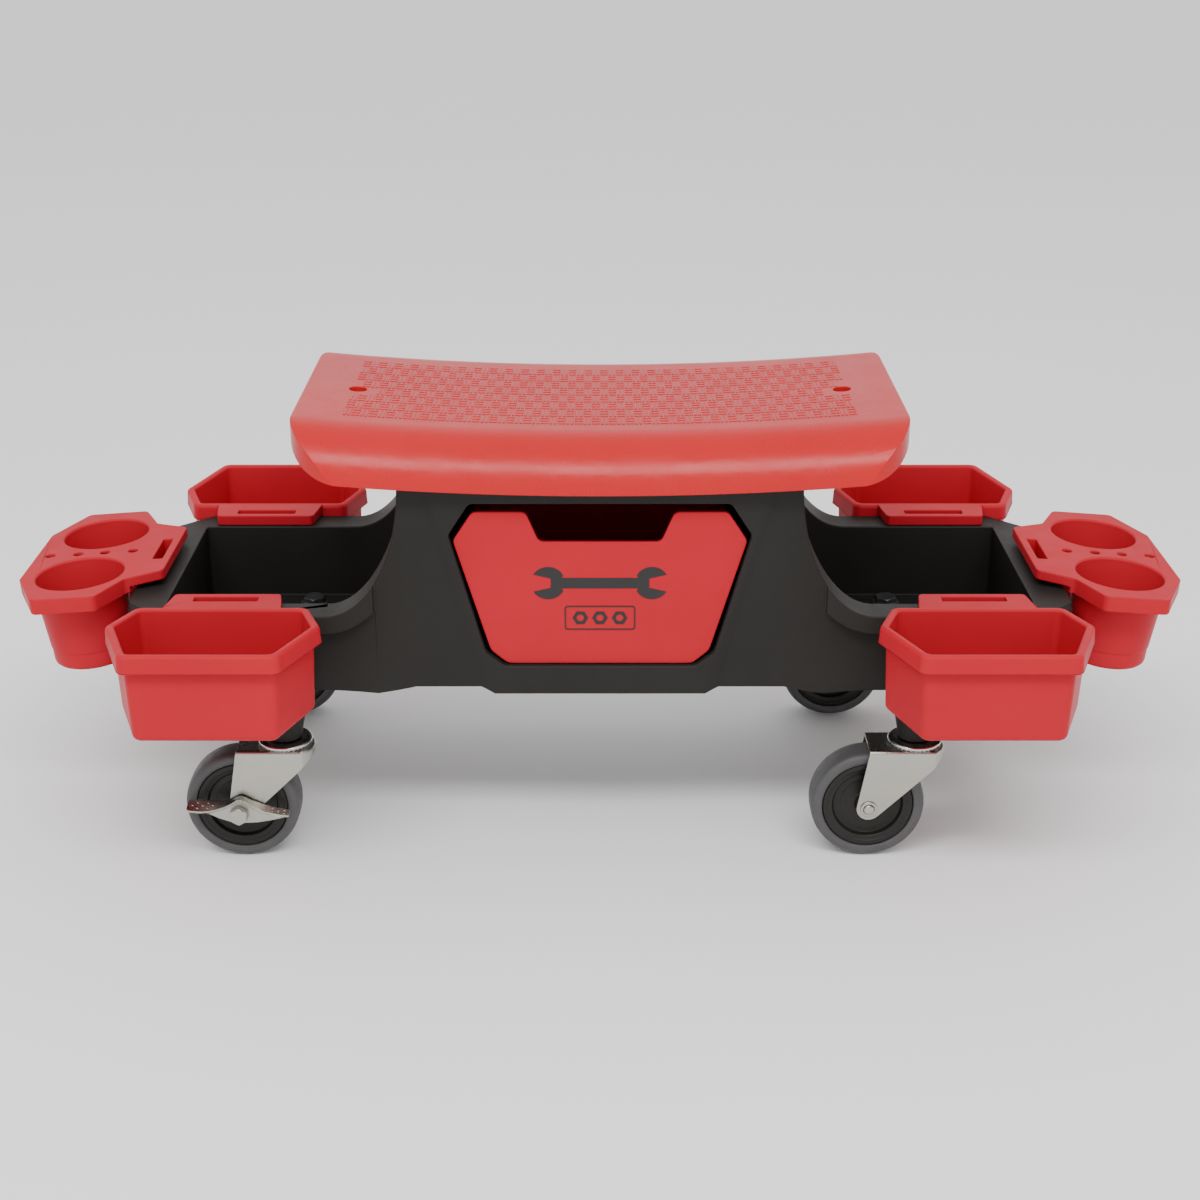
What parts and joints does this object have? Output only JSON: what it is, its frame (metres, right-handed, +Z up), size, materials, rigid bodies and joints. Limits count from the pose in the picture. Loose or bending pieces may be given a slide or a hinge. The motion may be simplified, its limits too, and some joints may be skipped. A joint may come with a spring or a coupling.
{
  "type": "rolling mechanics creeper seat",
  "caption": "Low rolling workshop seat with a drawer, side tool trays, lift-off bins and cup holders, on swivel castors with foot brakes.",
  "frame": {"origin": "on the floor, under the middle of the body", "axes": "+Z up, +X along the body to its right end, the drawer faces -Y"},
  "size_m": [0.9218, 0.44, 0.344],
  "materials": {
    "red_plastic": "satin moulded polypropylene, fine grain",
    "black_plastic": "satin moulded polypropylene, fine grain",
    "wheel_plastic": "semi-gloss moulded nylon",
    "grey_tyre": "satin thermoplastic rubber",
    "zinc": "bright zinc plate on pressed steel",
    "dark_steel": "dark zinc or black oxide"
  },
  "bodies": {
    "main": {"chassis": "black_plastic", "seat": "red_plastic", "seat_screw_1": "dark_steel", "seat_screw_2": "dark_steel", "seat_screw_3": "dark_steel", "seat_screw_4": "dark_steel", "castor_arm_front_left": "black_plastic", "arm_bolt_front_left": "dark_steel", "castor_stem_front_left": "zinc", "castor_arm_front_right": "black_plastic", "arm_bolt_front_right": "dark_steel", "castor_stem_front_right": "zinc", "castor_arm_rear_left": "black_plastic", "arm_bolt_rear_left": "dark_steel", "castor_stem_rear_left": "zinc", "castor_arm_rear_right": "black_plastic", "arm_bolt_rear_right": "dark_steel", "castor_stem_rear_right": "zinc"},
    "drawer": {"drawer": "red_plastic"},
    "cup_holder_left": {"cup_holder_left": "red_plastic"},
    "cup_holder_right": {"cup_holder_right": "red_plastic"},
    "bin_front_left": {"bin_front_left": "red_plastic"},
    "bin_front_right": {"bin_front_right": "red_plastic"},
    "bin_rear_left": {"bin_rear_left": "red_plastic"},
    "bin_rear_right": {"bin_rear_right": "red_plastic"},
    "castor_front_left": {"castor_fork_front_left": "zinc", "axle_bolt_front_left": "zinc", "axle_nut_front_left": "zinc"},
    "wheel_front_left": {"wheel_hub_front_left": "wheel_plastic", "tyre_front_left": "grey_tyre"},
    "brake_front_left": {"brake_pedal_front_left": "zinc"},
    "castor_front_right": {"castor_fork_front_right": "zinc", "axle_bolt_front_right": "zinc", "axle_ring_front_right": "zinc"},
    "wheel_front_right": {"wheel_hub_front_right": "wheel_plastic", "tyre_front_right": "grey_tyre"},
    "castor_rear_left": {"castor_fork_rear_left": "zinc", "axle_bolt_rear_left": "zinc", "axle_nut_rear_left": "zinc"},
    "wheel_rear_left": {"wheel_hub_rear_left": "wheel_plastic", "tyre_rear_left": "grey_tyre"},
    "brake_rear_left": {"brake_pedal_rear_left": "zinc"},
    "castor_rear_right": {"castor_fork_rear_right": "zinc", "axle_bolt_rear_right": "zinc", "axle_ring_rear_right": "zinc"},
    "wheel_rear_right": {"wheel_hub_rear_right": "wheel_plastic", "tyre_rear_right": "grey_tyre"}
  },
  "joints": [
    {"name": "drawer_slide", "type": "slide", "parent": "main", "child": "drawer", "axis": [0, -1, 0], "range_m": [0, 0.15]},
    {"name": "cup_holder_left_lift", "type": "slide", "parent": "main", "child": "cup_holder_left", "axis": [0, 0, 1], "range_m": [0, 0.1]},
    {"name": "cup_holder_right_lift", "type": "slide", "parent": "main", "child": "cup_holder_right", "axis": [0, 0, 1], "range_m": [0, 0.1]},
    {"name": "bin_front_left_lift", "type": "slide", "parent": "main", "child": "bin_front_left", "axis": [0, 0, 1], "range_m": [0, 0.1]},
    {"name": "bin_front_right_lift", "type": "slide", "parent": "main", "child": "bin_front_right", "axis": [0, 0, 1], "range_m": [0, 0.1]},
    {"name": "bin_rear_left_lift", "type": "slide", "parent": "main", "child": "bin_rear_left", "axis": [0, 0, 1], "range_m": [0, 0.1]},
    {"name": "bin_rear_right_lift", "type": "slide", "parent": "main", "child": "bin_rear_right", "axis": [0, 0, 1], "range_m": [0, 0.1]},
    {"name": "castor_swivel_front_left", "type": "hinge", "parent": "main", "child": "castor_front_left", "pos_m": [-0.244, -0.128, 0.0926], "axis": [0, 0, 1], "continuous": true},
    {"name": "wheel_spin_front_left", "type": "hinge", "parent": "castor_front_left", "child": "wheel_front_left", "pos_m": [-0.279, -0.128, 0.0445], "axis": [0, 1, 0], "continuous": true},
    {"name": "brake_rock_front_left", "type": "hinge", "parent": "castor_front_left", "child": "brake_front_left", "pos_m": [-0.279, -0.128, 0.0445], "axis": [0, -1, 0], "range_deg": [0, 16]},
    {"name": "castor_swivel_front_right", "type": "hinge", "parent": "main", "child": "castor_front_right", "pos_m": [0.244, -0.128, 0.0926], "axis": [0, 0, 1], "continuous": true},
    {"name": "wheel_spin_front_right", "type": "hinge", "parent": "castor_front_right", "child": "wheel_front_right", "pos_m": [0.209, -0.128, 0.0445], "axis": [0, 1, 0], "continuous": true},
    {"name": "castor_swivel_rear_left", "type": "hinge", "parent": "main", "child": "castor_rear_left", "pos_m": [-0.244, 0.128, 0.0926], "axis": [0, 0, 1], "continuous": true},
    {"name": "wheel_spin_rear_left", "type": "hinge", "parent": "castor_rear_left", "child": "wheel_rear_left", "pos_m": [-0.279, 0.128, 0.0445], "axis": [0, 1, 0], "continuous": true},
    {"name": "brake_rock_rear_left", "type": "hinge", "parent": "castor_rear_left", "child": "brake_rear_left", "pos_m": [-0.279, 0.128, 0.0445], "axis": [0, -1, 0], "range_deg": [0, 16]},
    {"name": "castor_swivel_rear_right", "type": "hinge", "parent": "main", "child": "castor_rear_right", "pos_m": [0.244, 0.128, 0.0926], "axis": [0, 0, 1], "continuous": true},
    {"name": "wheel_spin_rear_right", "type": "hinge", "parent": "castor_rear_right", "child": "wheel_rear_right", "pos_m": [0.209, 0.128, 0.0445], "axis": [0, 1, 0], "continuous": true}
  ]
}
